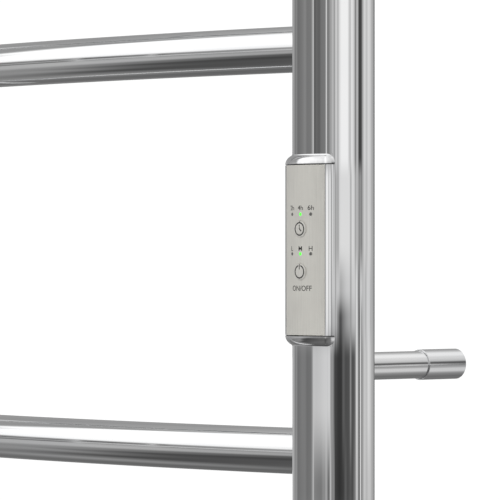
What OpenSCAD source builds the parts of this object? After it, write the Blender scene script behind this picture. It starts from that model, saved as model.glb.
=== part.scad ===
// Wall-hung electric towel warmer: two crowned posts, four bowed round rails, four telescopic
// wall brackets and a touch control on the front of the right-hand post.
// X runs to the viewer's right, -Y points into the room, +Y into the wall and +Z up.
// The origin lies on the wall plane, at the centre of the four wall fixings.

/* [Rack] */
// Overall width over both posts
rack_w = 600; // [450:10:900]
// Height of the posts with their end caps
rack_h = 1000; // [800:10:1600]
// Distance from the centre line of the posts to the wall
wall_gap = 112; // [95:1:140]

/* [Posts] */
// Width of a post, seen from the room
post_w = 40.5; // [34:1:50]
// Depth of a post, from room to wall
post_d = 40.5; // [36:1:50]
// Radius of the post's upright corners
post_corner_r = 3; // [2.5:0.1:5]
// Radius of the gentle crown on each post face
post_crown_r = 200; // [100:10:400]
// Wall thickness of a post
post_wall = 1.5; // [1:0.1:2]
// Thickness of the plate of a post's end cap
cap_plate = 2.5; // [2:0.1:4]
// Length of the plug that holds an end cap in its post
cap_plug = 8; // [5:0.5:12]

/* [Rails] */
// Diameter of a rail
rail_d = 30; // [24:0.5:32]
// Wall thickness of a rail
rail_wall = 1.2; // [1:0.1:2]
// Distance from the end of a post to the centre of its outer rail
end_margin = 110; // [100:5:180]
// How far the middle of a rail stands forward of its ends
rail_bow = 23.5; // [10:0.5:45]

/* [Wall brackets] */
// Height of the lower brackets above the lowest rail
bracket_rise = 55; // [35:1:80]
// Diameter of the bracket stub
stub_d = 18; // [16:0.5:22]
// Wall thickness of the bracket stub
stub_wall = 2; // [1.5:0.1:2.5]
// Wall thickness of the sliding cover collar
collar_wall = 0.92; // [0.8:0.01:1.5]
// Length of the cover collar
collar_len = 34; // [30:1:45]
// Length of the bushing that is screwed to the wall
bushing_len = 30; // [26:1:34]
// Diameter of the wall screw's hole
wall_screw_hole_d = 5.5; // [4.5:0.1:6]
// Travel of the rack on its bushings, each way
standoff_travel = 8; // [4:0.5:8]

/* [Control] */
// How far the control stands out past each side of the post
side_lap = 0.75; // [0.5:0.05:3]
// Radius of the control's rounded edges, each side of the grey face
bezel_r = 3.2; // [2.8:0.1:4]
// Height of the grey face panel
face_h = 108.5; // [104:0.5:140]
// How far the sides of the curved face fall back from its middle
face_sag = 4.7; // [3:0.1:5]
// Thickness of the face panel
face_t = 1.5; // [1.2:0.1:1.8]
// How far the face stands proud of the post
control_proud = 9; // [8.6:0.1:12]
// Height of a rounded end cap of the control
end_cap_h = 7.2; // [5:0.1:8]
// How far the housing's legs reach back past the front of the post
leg_wrap = 1.5; // [1:0.1:3]
// Diameter of a push button
button_d = 10.4; // [9:0.1:12]
// How far a button stands proud of the face
button_proud = 0.9; // [0.7:0.1:1.5]
// Travel of a button
button_travel = 0.6; // [0.3:0.05:0.6]
// Diameter of an indicator lens
led_d = 2.1; // [1.5:0.1:3]
// Distance between neighbouring indicator lenses
led_pitch = 8.5; // [7:0.1:10]

/* [Clearances] */
// Gap between a bracket stub and the collar or bushing that slides on it
slide_fit = 0.08; // [0.05:0.01:0.1]
// Gap round a button in its hole
button_gap = 0.25; // [0.15:0.05:0.4]
// Gap round a fixed piece in its hole or recess
fixed_gap = 0.1; // [0.05:0.01:0.2]
// Thickness of the seal between the control housing and the post
seal_t = 0.3; // [0.2:0.05:0.5]

/* [Hidden] */
$fn = 96;
eps = 0.01;
arc_steps = 6;
bow_fn = 1024;

// Places of the posts, rails, brackets and control
post_x = (rack_w - post_w) / 2;
post_y = -wall_gap;
half_h = rack_h / 2;
rail_pitch = (rack_h - 2 * end_margin) / 3;
rail_z = [for (i = [0:3]) (i - 1.5) * rail_pitch];
bracket_z = 1.5 * rail_pitch - bracket_rise;
control_z = (rail_z[0] + rail_z[1]) / 2;
rail_half = post_x - post_w / 2;
bow_r = (rail_half * rail_half + rail_bow * rail_bow) / (2 * rail_bow);
bow_y = post_y + bow_r - rail_bow;
bow_half_angle = asin(rail_half / bow_r);

// Bracket sizes
stub_r = stub_d / 2;
collar_r = stub_r + slide_fit + collar_wall;
bushing_r = stub_r - stub_wall - slide_fit;
grub_r = 2.5;
grub_top = sqrt(stub_r * stub_r - grub_r * grub_r) - slide_fit;
grub_y = -bushing_len / 2 - 1;
slot_depth = 1.4;
slot_spare = 1;
slot_half = standoff_travel + grub_r + slot_spare;
tip_spare = 6;
stub_tip = -standoff_travel - tip_spare;
screw_head_r = 4.3;
screw_head_floor = 6;

// Control sizes, all measured from the axis of the right-hand post
control_w = post_w + 2 * side_lap;
face_w = control_w - 2 * bezel_r;
face_r = (face_w * face_w / 4 + face_sag * face_sag) / (2 * face_sag);
face_y = -post_d / 2 - control_proud;
face_c = [0, face_y + face_r];
face_half_angle = asin(face_w / 2 / face_r);
bezel_c = [face_w / 2, face_c[1] - face_r * cos(face_half_angle) + bezel_r];
leg_y = -post_d / 2 + leg_wrap;
web_t = 1.1;
web_y = -post_d / 2 - seal_t - web_t;
ledge = 2.6;
pocket_w = face_w - 2 * ledge;
board_t = 1;
board_y = web_y - board_t;
board_gap = 0.7;
board_w = pocket_w - 2 * board_gap;
board_low = -26;
board_high = 34;
switch_h = 2.6;
switch_side = 6;
switch_y = board_y - switch_h;
plunger_r = 1.75;
plunger_deep = 1.5;
plunger_y = switch_y - button_travel - fixed_gap;
flange_t = 0.7;
flange_y = plunger_y - flange_t;
flange_lip = 0.7;
flange_r = button_d / 2 + flange_lip;
timer_z = 13.4;
power_z = -13.8;
timer_led_z = 22.8;
heat_led_z = -2.4;
led_proud = 0.1;
led_chip_t = 0.6;
led_back = board_y - led_chip_t - fixed_gap;
tongue_len = 6;
tongue_t = 1.9;
housing_screw_z = [-45, 45];
housing_screw_r = 1.5;
housing_screw_head_r = 2.7;
housing_screw_head_t = 1.4;
housing_screw_len = 6;
wire_z = -36;
wire_r = 2;
wire_y = -post_d / 2 + 8;
grommet_r = 4.5;
grommet_lip = 1.2;

// Pieces inside the right-hand post
cable_r = 2.5;
cable_hole_r = 7;
cable_y = bow_y - sqrt(bow_r * bow_r - post_x * post_x);
inner_floor = cap_plate + cap_plug;
block_size = [15, 12, 22];
block_z = -half_h + inner_floor + 9;
gland_r = 6;
gland_bore_r = 3.6;
gland_hex = 17;
gland_hex_t = 5;
gland_dome_t = 8;
gland_nut_t = 4;
earth_r = 2;
earth_x = -post_w / 2 + 8.5;
earth_y = post_d / 2 - 11.5;

chrome = [0.80, 0.81, 0.83];
satin = [0.74, 0.73, 0.71];
steel = [0.62, 0.63, 0.65];
dark = [0.16, 0.16, 0.17];

// Points from angle a0 to a1 on the circle round c
function arc(c, r, a0, a1, first = 0) =
    [for (i = [first:arc_steps]) let (a = a0 + (a1 - a0) * i / arc_steps) c + r * [cos(a), sin(a)]];

// The crossing of two circles that lies to the right of the way from c1 to c2, turned left
function meet(c1, r1, c2, r2) =
    let (
        d = norm(c2 - c1),
        along = (r1 * r1 - r2 * r2 + d * d) / (2 * d),
        off = sqrt(r1 * r1 - along * along),
        u = (c2 - c1) / d
    ) c1 + along * u + off * [-u[1], u[0]];

// One quarter of the crowned post outline, from the middle of its front to the middle of its side
function post_quarter(inset) =
    let (
        front_c = [0, post_crown_r - post_d / 2],
        side_c = [post_w / 2 - post_crown_r, 0],
        flat_r = post_crown_r - post_corner_r,
        corner_c = meet(front_c, flat_r, side_c, flat_r),
        a1 = atan2(corner_c[1] - front_c[1], corner_c[0] - front_c[0]),
        a2 = atan2(corner_c[1] - side_c[1], corner_c[0] - side_c[0])
    ) concat(
        arc(front_c, post_crown_r - inset, -90, a1),
        arc(corner_c, post_corner_r - inset, a1, a2, 1),
        arc(side_c, post_crown_r - inset, a2, 0, 1)
    );

// The whole crowned outline of a post, set inwards by inset
function post_outline(inset = 0) =
    let (q = post_quarter(inset), n = len(q) - 1) concat(
        [for (i = [0:n - 1]) q[i]],
        [for (i = [n:-1:1]) [q[i][0], -q[i][1]]],
        [for (i = [0:n - 1]) -q[i]],
        [for (i = [n:-1:1]) [-q[i][0], q[i][1]]]
    );

// The outline of the control: curved face, rounded bezels and straight legs
function control_outline() = concat(
    arc(face_c, face_r, -90 - face_half_angle, -90 + face_half_angle),
    arc(bezel_c, bezel_r, -90, 0, 1),
    [[control_w / 2, leg_y], [-control_w / 2, leg_y]],
    arc([-bezel_c[0], bezel_c[1]], bezel_r, 180, 270)
);

// A curved strip between two radii of the face, as wide as width
function face_strip(width, r_out, r_in) =
    let (a_out = asin(width / 2 / r_out), a_in = asin(width / 2 / r_in)) concat(
        arc(face_c, r_out, -90 - a_out, -90 + a_out),
        arc(face_c, r_in, -90 + a_in, -90 - a_in)
    );

module at_post(side) {
    translate([side * post_x, post_y, 0]) children();
}

module at_control(z = 0) {
    translate([post_x, post_y, control_z + z]) children();
}

module at_bracket(side, level) {
    translate([side * post_x, 0, level * bracket_z]) children();
}

// A round bar along +Y from y0 to y1
module y_bar(r, y0, y1) {
    translate([0, y0, 0]) rotate([-90, 0, 0]) cylinder(r = r, h = y1 - y0);
}

module post_solid(height, inset = 0) {
    linear_extrude(height, center = true) polygon(post_outline(inset));
}

module post(side) {
    tube_h = rack_h - 2 * cap_plate;
    color(chrome) difference() {
        at_post(side) difference() {
            post_solid(tube_h);
            post_solid(tube_h + 2, post_wall);
            for (z = rail_z)
                translate([-side * post_w / 2, 0, z])
                    rotate([0, 90, 0]) cylinder(r = cable_hole_r, h = 3 * post_wall, center = true);
        }
        if (side > 0) {
            at_control(wire_z) y_bar(grommet_r, -post_d, wire_y - wire_r - grommet_lip);
            for (z = housing_screw_z)
                at_control(z) y_bar(housing_screw_r, -post_d, wire_y - wire_r);
        }
    }
}

module bow_tube(r, z, spread = 1) {
    reach = bow_half_angle + spread;
    translate([0, bow_y, z]) rotate_extrude(angle = 2 * reach, start = -90 - reach, $fn = bow_fn)
        translate([bow_r, 0]) circle(r = r, $fn = 48);
}

module rail(z) {
    color(chrome) difference() {
        bow_tube(rail_d / 2, z);
        bow_tube(rail_d / 2 - rail_wall, z, 1.2);
        for (side = [-1, 1])
            at_post(side) translate([0, 0, z]) post_solid(rail_d + 4);
    }
}

module post_cap(side, level, gland = false) {
    color(chrome) difference() {
        at_post(side) mirror([0, 0, level > 0 ? 0 : 1]) {
            translate([0, 0, half_h - cap_plate / 2]) post_solid(cap_plate);
            translate([0, 0, half_h - cap_plate - cap_plug / 2])
                post_solid(cap_plug, post_wall + fixed_gap);
        }
        if (gland) {
            at_post(side) translate([0, 0, -half_h - 1]) cylinder(r = gland_r, h = inner_floor + 2);
            at_post(side) translate([earth_x, earth_y, -half_h + cap_plate])
                cylinder(r = earth_r, h = cap_plug + 1);
        }
    }
}

module stub(side, level) {
    color(chrome) difference() {
        at_bracket(side, level) y_bar(stub_r, post_y, stub_tip);
        at_bracket(side, level) y_bar(stub_r - stub_wall, post_y - 1, stub_tip + 1);
        at_bracket(side, level) translate([0, grub_y, -stub_r])
            cylinder(r = grub_r, h = 3 * stub_wall, center = true);
        at_post(side) translate([0, 0, level * bracket_z]) post_solid(stub_d + 4);
    }
}

module bushing(side, level) {
    color(steel) at_bracket(side, level) difference() {
        y_bar(bushing_r, -bushing_len, 0);
        y_bar(wall_screw_hole_d / 2, -bushing_len - 1, 1);
        y_bar(screw_head_r, -bushing_len - 1, -screw_head_floor);
        translate([-grub_r - fixed_gap, grub_y - slot_half, -bushing_r - 1])
            cube([2 * (grub_r + fixed_gap), 2 * slot_half, slot_depth + 1]);
    }
}

module collar(side, level) {
    color(chrome) at_bracket(side, level) difference() {
        y_bar(collar_r, -collar_len, 0);
        y_bar(stub_r + slide_fit, -collar_len - 1, 1);
    }
}

module grub_screws() {
    hex_r = 1.45;
    tip = bushing_r - slot_depth + 0.4;
    color(dark) for (side = [-1, 1], level = [-1, 1])
        at_bracket(side, level) translate([0, grub_y, -grub_top]) difference() {
            cylinder(r = grub_r, h = grub_top - tip);
            translate([0, 0, -1]) cylinder(r = hex_r, h = 2.2, $fn = 6);
        }
}

module control_section() {
    difference() {
        polygon(control_outline());
        polygon(face_strip(face_w, face_r + 1, face_r - face_t));
        translate([-pocket_w / 2, face_y]) square([pocket_w, web_y - face_y]);
        polygon(post_outline(-seal_t));
    }
}

module control_housing() {
    color(chrome) at_control() difference() {
        linear_extrude(face_h, center = true) control_section();
        translate([0, 0, wire_z]) y_bar(grommet_r + grommet_lip, web_y - 1, 0);
        for (z = housing_screw_z)
            translate([0, 0, z]) y_bar(housing_screw_r, web_y - 1, 0);
    }
}

module housing_gasket() {
    gasket_w = post_w - 6;
    gasket_h = face_h - 6;
    color(dark) at_control() difference() {
        linear_extrude(gasket_h, center = true) intersection() {
            difference() {
                polygon(post_outline(-seal_t));
                polygon(post_outline());
            }
            translate([-gasket_w / 2, -post_d]) square([gasket_w, post_d]);
        }
        translate([0, 0, wire_z]) y_bar(grommet_r + grommet_lip, -post_d, 0);
        for (z = housing_screw_z)
            translate([0, 0, z]) y_bar(housing_screw_r, -post_d, 0);
    }
}

module housing_screws() {
    color(steel) for (z = housing_screw_z) at_control(z) difference() {
        union() {
            y_bar(housing_screw_head_r, web_y - housing_screw_head_t, web_y);
            y_bar(housing_screw_r, web_y, web_y + housing_screw_len);
        }
        translate([0, web_y - housing_screw_head_t - 1, 0]) rotate([-90, 0, 0])
            cylinder(r = 1, h = 1.8, $fn = 6);
    }
}

module face_panel() {
    color(satin) at_control() difference() {
        linear_extrude(face_h - 2 * fixed_gap, center = true)
            polygon(face_strip(face_w - 2 * fixed_gap, face_r, face_r - face_t));
        for (z = [timer_z, power_z])
            translate([0, 0, z]) y_bar(button_d / 2 + button_gap, face_y - 2, face_y + 6);
        for (z = [timer_led_z, heat_led_z], i = [-1:1])
            translate([i * led_pitch, 0, z]) y_bar(led_d / 2 + fixed_gap, face_y - 2, face_y + 6);
    }
}

// A rounded end of the control: the outline shrinks upwards along a quarter circle
module end_cap(level) {
    slices = 8;
    tongue_w = pocket_w - 2 * fixed_gap;
    color(chrome) at_control() mirror([0, 0, level > 0 ? 0 : 1]) translate([0, 0, face_h / 2]) {
        difference() {
            hull() for (i = [0:slices]) let (a = 84 * i / slices)
                translate([0, 0, end_cap_h * sin(a) / sin(84)])
                    linear_extrude(eps) offset(delta = end_cap_h * (cos(a) - 1))
                        polygon(control_outline());
            translate([0, 0, end_cap_h / 2]) post_solid(2 * end_cap_h, -seal_t);
        }
        translate([-tongue_w / 2, web_y - fixed_gap - tongue_t, -tongue_len])
            cube([tongue_w, tongue_t, tongue_len + eps]);
    }
}

module button(z) {
    color(satin) at_control(z) {
        y_bar(button_d / 2, face_y - button_proud, flange_y + eps);
        y_bar(flange_r, flange_y, plunger_y);
    }
}

module plunger(z) {
    color(dark) at_control(z) y_bar(plunger_r, plunger_y, switch_y + plunger_deep - button_travel);
}

module switch_body(z) {
    color(dark) at_control(z) difference() {
        translate([-switch_side / 2, switch_y, -switch_side / 2])
            cube([switch_side, switch_h, switch_side]);
        y_bar(plunger_r + fixed_gap, switch_y - 1, switch_y + plunger_deep + fixed_gap);
    }
}

module circuit_board() {
    color([0.05, 0.32, 0.16]) at_control()
        translate([-board_w / 2, board_y, board_low]) cube([board_w, board_t, board_high - board_low]);
}

// A chip, a power switch, six indicator chips and the plug for the wires, as separate solids
module board_components() {
    part_sizes = [[7, 1.2, 7], [8, 1.6, 5], [10, 2.6, 4.5]];
    part_x = [-9.5, 8, 0];
    part_z = [5, 5, -22.8];
    color(dark) at_control() {
        for (i = [0:2])
            translate([part_x[i] - part_sizes[i][0] / 2, board_y - part_sizes[i][1], part_z[i] - 2.5])
                cube(part_sizes[i]);
        for (z = [timer_led_z, heat_led_z], i = [-1:1])
            translate([i * led_pitch, board_y - led_chip_t / 2, z]) cube([1.6, led_chip_t, 1.6], center = true);
    }
}

module lens(i, z) {
    surface_y = face_c[1] - sqrt(face_r * face_r - pow(i * led_pitch, 2));
    at_control(z) translate([i * led_pitch, 0, 0]) y_bar(led_d / 2, surface_y - led_proud, led_back);
}

module lit_lenses() {
    color([0.3, 1, 0.25]) for (z = [timer_led_z, heat_led_z]) lens(0, z);
}

module dark_lenses() {
    color([0.4, 0.4, 0.4]) for (z = [timer_led_z, heat_led_z], i = [-1, 1]) lens(i, z);
}

module wire_grommet() {
    lip_r = grommet_r + grommet_lip;
    lip_y = -post_d / 2 + post_wall + lip_r * lip_r / (2 * (post_crown_r - post_wall));
    color(dark) at_control(wire_z) difference() {
        union() {
            y_bar(grommet_r - eps, -post_d / 2 - seal_t, lip_y);
            y_bar(lip_r, lip_y, lip_y + grommet_lip);
        }
        y_bar(wire_r, -post_d, 0);
    }
}

module control_wires() {
    top = control_z + wire_z;
    drop = top - block_z - block_size[2];
    color([0.75, 0.12, 0.1]) {
        at_control(wire_z) y_bar(wire_r, board_y - 0.5, wire_y);
        at_control(wire_z) translate([0, wire_y, 0]) sphere(r = wire_r);
        translate([post_x, post_y + wire_y, top - drop]) cylinder(r = wire_r, h = drop);
    }
}

// The cable climbs from the terminal block and winds through the rails from one post to the other
module heating_cable() {
    bend_r = cable_r + 0.8;
    color([0.75, 0.3, 0.2]) {
        for (z = rail_z) {
            bow_tube(cable_r, z, asin(post_x / bow_r) - bow_half_angle);
            for (side = [-1, 1]) translate([side * post_x, cable_y, z]) sphere(r = bend_r);
        }
        for (i = [0:2]) translate([(i % 2 == 0 ? -1 : 1) * post_x, cable_y, rail_z[i]])
            cylinder(r = cable_r, h = rail_pitch);
        translate([post_x, cable_y, block_z + block_size[2]])
            cylinder(r = cable_r, h = rail_z[0] - block_z - block_size[2]);
    }
}

module thermal_fuse() {
    fuse_r = 2.2;
    fuse_h = 11;
    color([0.85, 0.83, 0.75])
        translate([post_x - cable_r - fuse_r, cable_y, rail_z[0] - rail_d - fuse_h])
            cylinder(r = fuse_r, h = fuse_h);
}

module terminal_block() {
    color([0.9, 0.88, 0.8]) translate([post_x - block_size[0] / 2, post_y + wire_y - wire_r, block_z])
        cube([block_size[0], cable_y + cable_r - (post_y + wire_y - wire_r), block_size[2]]);
}

module cable_gland() {
    color(dark) at_post(1) difference() {
        union() {
            translate([0, 0, -half_h - gland_hex_t])
                cylinder(d = gland_hex / cos(30), h = gland_hex_t, $fn = 6);
            translate([0, 0, -half_h - gland_hex_t - gland_dome_t])
                cylinder(r1 = gland_r - 0.8, r2 = gland_r + 1.4, h = gland_dome_t);
            translate([0, 0, -half_h]) cylinder(r = gland_r - fixed_gap, h = inner_floor + gland_nut_t + 1);
        }
        translate([0, 0, -half_h - gland_hex_t - gland_dome_t - 1])
            cylinder(r = gland_bore_r, h = inner_floor + gland_nut_t + gland_hex_t + gland_dome_t + 3);
    }
}

module gland_nut() {
    color(dark) at_post(1) translate([0, 0, -half_h + inner_floor]) difference() {
        cylinder(d = gland_hex / cos(30), h = gland_nut_t, $fn = 6);
        translate([0, 0, -1]) cylinder(r = gland_r, h = gland_nut_t + 2);
    }
}

module earth_tag() {
    tag_t = 0.8;
    color([0.8, 0.7, 0.3]) at_post(1) translate([earth_x, earth_y, -half_h + inner_floor]) difference() {
        union() {
            cylinder(r = 2 * earth_r, h = tag_t);
            translate([-earth_r, 0, 0]) cube([2 * earth_r, 8, tag_t]);
        }
        translate([0, 0, -1]) cylinder(r = earth_r + fixed_gap, h = tag_t + 2);
    }
}

module earth_screw() {
    head_t = 2.4;
    color(steel) at_post(1) translate([earth_x, earth_y, -half_h + inner_floor]) difference() {
        union() {
            translate([0, 0, 0.8]) cylinder(r = 3.5, h = head_t);
            translate([0, 0, -cap_plug + 1]) cylinder(r = earth_r, h = cap_plug);
        }
        translate([0, 0, 0.8 + head_t - 1.2]) cylinder(r = 1.2, h = 2, $fn = 6);
    }
}

post(-1);  // left_post
post(1);  // right_post
rail(rail_z[0]);  // lower_rail
rail(rail_z[1]);  // lower_middle_rail
rail(rail_z[2]);  // upper_middle_rail
rail(rail_z[3]);  // upper_rail
post_cap(-1, 1);  // left_top_cap
post_cap(1, 1);  // right_top_cap
post_cap(-1, -1);  // left_bottom_cap
post_cap(1, -1, true);  // right_bottom_cap
stub(-1, -1);  // lower_left_stub
stub(1, -1);  // lower_right_stub
stub(-1, 1);  // upper_left_stub
stub(1, 1);  // upper_right_stub
bushing(-1, -1);  // lower_left_bushing
bushing(1, -1);  // lower_right_bushing
bushing(-1, 1);  // upper_left_bushing
bushing(1, 1);  // upper_right_bushing
collar(-1, -1);  // lower_left_collar
collar(1, -1);  // lower_right_collar
collar(-1, 1);  // upper_left_collar
collar(1, 1);  // upper_right_collar
grub_screws();
control_housing();
housing_gasket();
housing_screws();
face_panel();
end_cap(1);  // upper_end_cap
end_cap(-1);  // lower_end_cap
button(timer_z);  // timer_button
button(power_z);  // power_button
plunger(timer_z);  // timer_plunger
plunger(power_z);  // power_plunger
switch_body(timer_z);  // timer_switch
switch_body(power_z);  // power_switch
circuit_board();
board_components();
lit_lenses();
dark_lenses();
wire_grommet();
control_wires();
heating_cable();
thermal_fuse();
terminal_block();
cable_gland();
gland_nut();
earth_tag();
earth_screw();
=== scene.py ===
"""Looks for the wall-hung towel warmer: polished tubes, satin control, studio light and camera.

Lengths are millimetres in the rack's own frame (X to the viewer's right, -Y into the room, +Z up) and
become metres when a mesh is made. Every new piece is a grid of points worked out from a formula.
"""

import math

import bmesh
import bpy
import numpy as np
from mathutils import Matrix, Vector


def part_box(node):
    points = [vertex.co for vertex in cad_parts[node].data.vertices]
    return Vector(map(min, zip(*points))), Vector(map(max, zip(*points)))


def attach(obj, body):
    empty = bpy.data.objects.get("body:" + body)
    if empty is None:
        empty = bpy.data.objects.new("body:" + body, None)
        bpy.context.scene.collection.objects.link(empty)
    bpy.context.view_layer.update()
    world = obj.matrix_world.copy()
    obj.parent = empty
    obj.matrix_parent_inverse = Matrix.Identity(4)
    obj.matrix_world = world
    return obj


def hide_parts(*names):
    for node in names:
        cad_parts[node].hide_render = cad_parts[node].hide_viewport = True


MM = 0.001

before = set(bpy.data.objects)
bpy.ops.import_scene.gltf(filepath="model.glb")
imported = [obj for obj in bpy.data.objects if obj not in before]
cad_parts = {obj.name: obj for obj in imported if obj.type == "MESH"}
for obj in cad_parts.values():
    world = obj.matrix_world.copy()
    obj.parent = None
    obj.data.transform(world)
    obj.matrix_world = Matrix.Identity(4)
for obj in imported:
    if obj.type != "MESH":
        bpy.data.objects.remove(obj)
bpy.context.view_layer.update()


# ---------------------------------------------------------------- sizes, taken from the frame

def node_box(node):
    """Lowest and highest corner of a node, in millimetres."""
    low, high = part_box(node)
    return np.array(low) / MM, np.array(high) / MM


CORNERS = ["lower_left", "lower_right", "upper_left", "upper_right"]
RAILS = ["lower_rail", "lower_middle_rail", "upper_middle_rail", "upper_rail"]

post_low, post_high = node_box("right_post")
POST_W = post_high[0] - post_low[0]
POST_D = post_high[1] - post_low[1]
POST_X = (post_high[0] + post_low[0]) / 2
POST_Y = (post_high[1] + post_low[1]) / 2
TUBE_END = post_high[2]
POST_END = node_box("right_top_cap")[1][2]
POST_CORNER_R = 3
POST_CROWN_R = 200
POST_WALL = 1.5

rail_low, rail_high = node_box("lower_rail")
RAIL_R = (rail_high[2] - rail_low[2]) / 2
RAIL_WALL = 1.2
RAIL_BOW = POST_Y - RAIL_R - rail_low[1]
RAIL_HALF = POST_X - POST_W / 2
BOW_R = (RAIL_HALF**2 + RAIL_BOW**2) / (2 * RAIL_BOW)
BOW_Y = POST_Y + BOW_R - RAIL_BOW
BOW_TILT = math.asin(RAIL_HALF / BOW_R)

stub_low, stub_high = node_box("lower_right_stub")
collar_low, collar_high = node_box("lower_right_collar")
STUB_R = (stub_high[2] - stub_low[2]) / 2
STUB_WALL = 2
STUB_TIP = stub_high[1]
STUB_SUNK = 1.2
COLLAR_R = (collar_high[2] - collar_low[2]) / 2
COLLAR_WALL = 0.92
COLLAR_LEN = -collar_low[1]
WELD = 0.7

housing_low, housing_high = node_box("control_housing")
CONTROL_Z = (housing_high[2] + housing_low[2]) / 2
CONTROL_HALF_W = (housing_high[0] - housing_low[0]) / 2
CONTROL_HALF_H = (housing_high[2] - housing_low[2]) / 2
FACE_Y = node_box("face_panel")[0][1] - POST_Y
LEG_Y = housing_high[1] - POST_Y
END_CAP_H = node_box("upper_end_cap")[1][2] - housing_high[2]
BEZEL_R = 3.2
FACE_HALF_W = CONTROL_HALF_W - BEZEL_R
FACE_SAG = 4.7
FACE_R = (FACE_HALF_W**2 + FACE_SAG**2) / (2 * FACE_SAG)
FACE_T = 1.5
LEDGE = 2.6
SEAL_T = 0.3
SEAM = 0.6
WEB_Y = -POST_D / 2 - SEAL_T - 1.1

BUTTON_R = 5.2
BUTTON_GAP = 0.12
BUTTON_DOME_R = 50
BUTTON_Z = {name: sum(b[2] for b in node_box(name)) / 2 for name in ("timer_button", "power_button")}
LENS_R = 1.05
LENS_PITCH = 8.5
LENS_Z = [CONTROL_Z + 22.8, CONTROL_Z - 2.4]


# ---------------------------------------------------------------- meshes

def circle(steps):
    """Angles of a full turn, the last one short of the first."""
    return np.arange(steps) * 2 * np.pi / steps


def arc(centre, radius, start, end, steps):
    """Points on a circle round centre, from the start angle to the end angle."""
    angle = np.linspace(start, end, steps + 1)
    return np.stack([centre[0] + radius * np.cos(angle), centre[1] + radius * np.sin(angle)], -1)


def grid_faces(rows, columns, close_rows=False, close_columns=False):
    """Quads between neighbouring points of a grid; a closed direction joins its end to its start."""
    row, column = np.meshgrid(
        np.arange(rows if close_rows else rows - 1),
        np.arange(columns if close_columns else columns - 1),
        indexing="ij",
    )
    row_2, column_2 = (row + 1) % rows, (column + 1) % columns
    corners = [row * columns + column, row * columns + column_2]
    corners += [row_2 * columns + column_2, row_2 * columns + column]
    return np.stack(corners, -1).reshape(-1, 4)


class Surface:
    """Grids and flat outlines, in millimetres, that together make one piece."""

    def __init__(self):
        self.points = []
        self.faces = []
        self.count = 0

    def add(self, points, faces):
        points = np.asarray(points, float).reshape(-1, 3)
        self.points.append(points)
        self.faces += [[i + self.count for i in face] for face in np.asarray(faces).tolist()]
        self.count += len(points)
        return self

    def grid(self, points, close_rows=False, close_columns=False):
        rows, columns = points.shape[:2]
        return self.add(points, grid_faces(rows, columns, close_rows, close_columns))

    def cap(self, outline):
        """One flat face inside a closed outline."""
        return self.add(outline, [list(range(len(outline)))])

    def piece(self, name, body, replaced, slot, material, sharp=32):
        """Joins equal points, turns all faces outwards and hands the mesh to its body."""
        mesh = bpy.data.meshes.new(name)
        mesh.from_pydata((np.concatenate(self.points) * MM).tolist(), [], self.faces)
        shape = bmesh.new()
        shape.from_mesh(mesh)
        bmesh.ops.remove_doubles(shape, verts=shape.verts, dist=1e-7)
        bmesh.ops.dissolve_degenerate(shape, edges=shape.edges, dist=1e-8)
        bmesh.ops.recalc_face_normals(shape, faces=shape.faces)
        shape.to_mesh(mesh)
        shape.free()
        mesh.polygons.foreach_set("use_smooth", [True] * len(mesh.polygons))
        mesh.set_sharp_from_angle(angle=math.radians(sharp))
        mesh.materials.append(material)
        made = bpy.data.objects.new(name, mesh)
        bpy.context.scene.collection.objects.link(made)
        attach(made, body)
        if replaced:
            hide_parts(*replaced)
        return made


def rounded(profile, radius, steps=6):
    """A closed profile of (radius, place) corners with each corner cut back to a round.

    Each corner becomes a quadratic curve that leaves one side and joins the next, radius from the corner,
    with one more point on each side of it so that the straight stretches stay straight when shaded.
    """
    profile = np.asarray(profile, float)
    before, after = np.roll(profile, 1, 0) - profile, np.roll(profile, -1, 0) - profile
    start = profile + before / np.linalg.norm(before, axis=1)[:, None] * radius
    end = profile + after / np.linalg.norm(after, axis=1)[:, None] * radius
    t = np.linspace(0, 1, steps + 1)[None, :, None]
    bend = (1 - t) ** 2 * start[:, None] + 2 * t * (1 - t) * profile[:, None] + t**2 * end[:, None]
    lead_in = 1.6 * start - 0.6 * profile
    lead_out = 1.6 * end - 0.6 * profile
    return np.concatenate([lead_in[:, None], bend, lead_out[:, None]], 1).reshape(-1, 2)


def lathe(profile, centre, along, steps=96):
    """The profile's (radius, place) points turned round an axis through centre: one column an angle."""
    turn = circle(steps)
    radius, place = np.asarray(profile, float).T
    ring = radius[:, None] * np.cos(turn), radius[:, None] * np.sin(turn)
    length = np.broadcast_to(place[:, None], ring[0].shape)
    order = {"x": (length, ring[0], ring[1]), "y": (ring[0], length, ring[1]), "z": (*ring, length)}
    return np.stack(order[along], -1) + np.asarray(centre, float)


def post_outline(inset=0.0, crown_steps=14, corner_steps=16):
    """The crowned outline of a post: four large arcs joined by four small ones tangent to both.

    A corner's centre lies as far from the front arc's centre as from the side arc's centre: the crown's
    radius less the corner's own. The lower right quarter is mirrored into the other three.
    """
    front = np.array([0, POST_CROWN_R - POST_D / 2])
    side = np.array([POST_W / 2 - POST_CROWN_R, 0])
    span = side - front
    half = np.linalg.norm(span) / 2
    off = math.sqrt((POST_CROWN_R - POST_CORNER_R) ** 2 - half**2)
    corner = front + span / 2 + off * np.array([-span[1], span[0]]) / (2 * half)
    from_front = math.atan2(*(corner - front)[::-1])
    from_side = math.atan2(*(corner - side)[::-1])
    quarter = np.concatenate([
        arc(front, POST_CROWN_R - inset, -math.pi / 2, from_front, crown_steps),
        arc(corner, POST_CORNER_R - inset, from_front, from_side, corner_steps)[1:],
        arc(side, POST_CROWN_R - inset, from_side, 0, crown_steps)[1:],
    ])
    return np.concatenate([
        quarter[:-1], (quarter * [1, -1])[:0:-1], -quarter[:-1], (quarter * [-1, 1])[:0:-1]
    ])


def crown_at(offset):
    """How far the crowned face of a post has fallen back at this distance from its middle."""
    return POST_CROWN_R - np.sqrt(POST_CROWN_R**2 - np.asarray(offset) ** 2)


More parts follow.
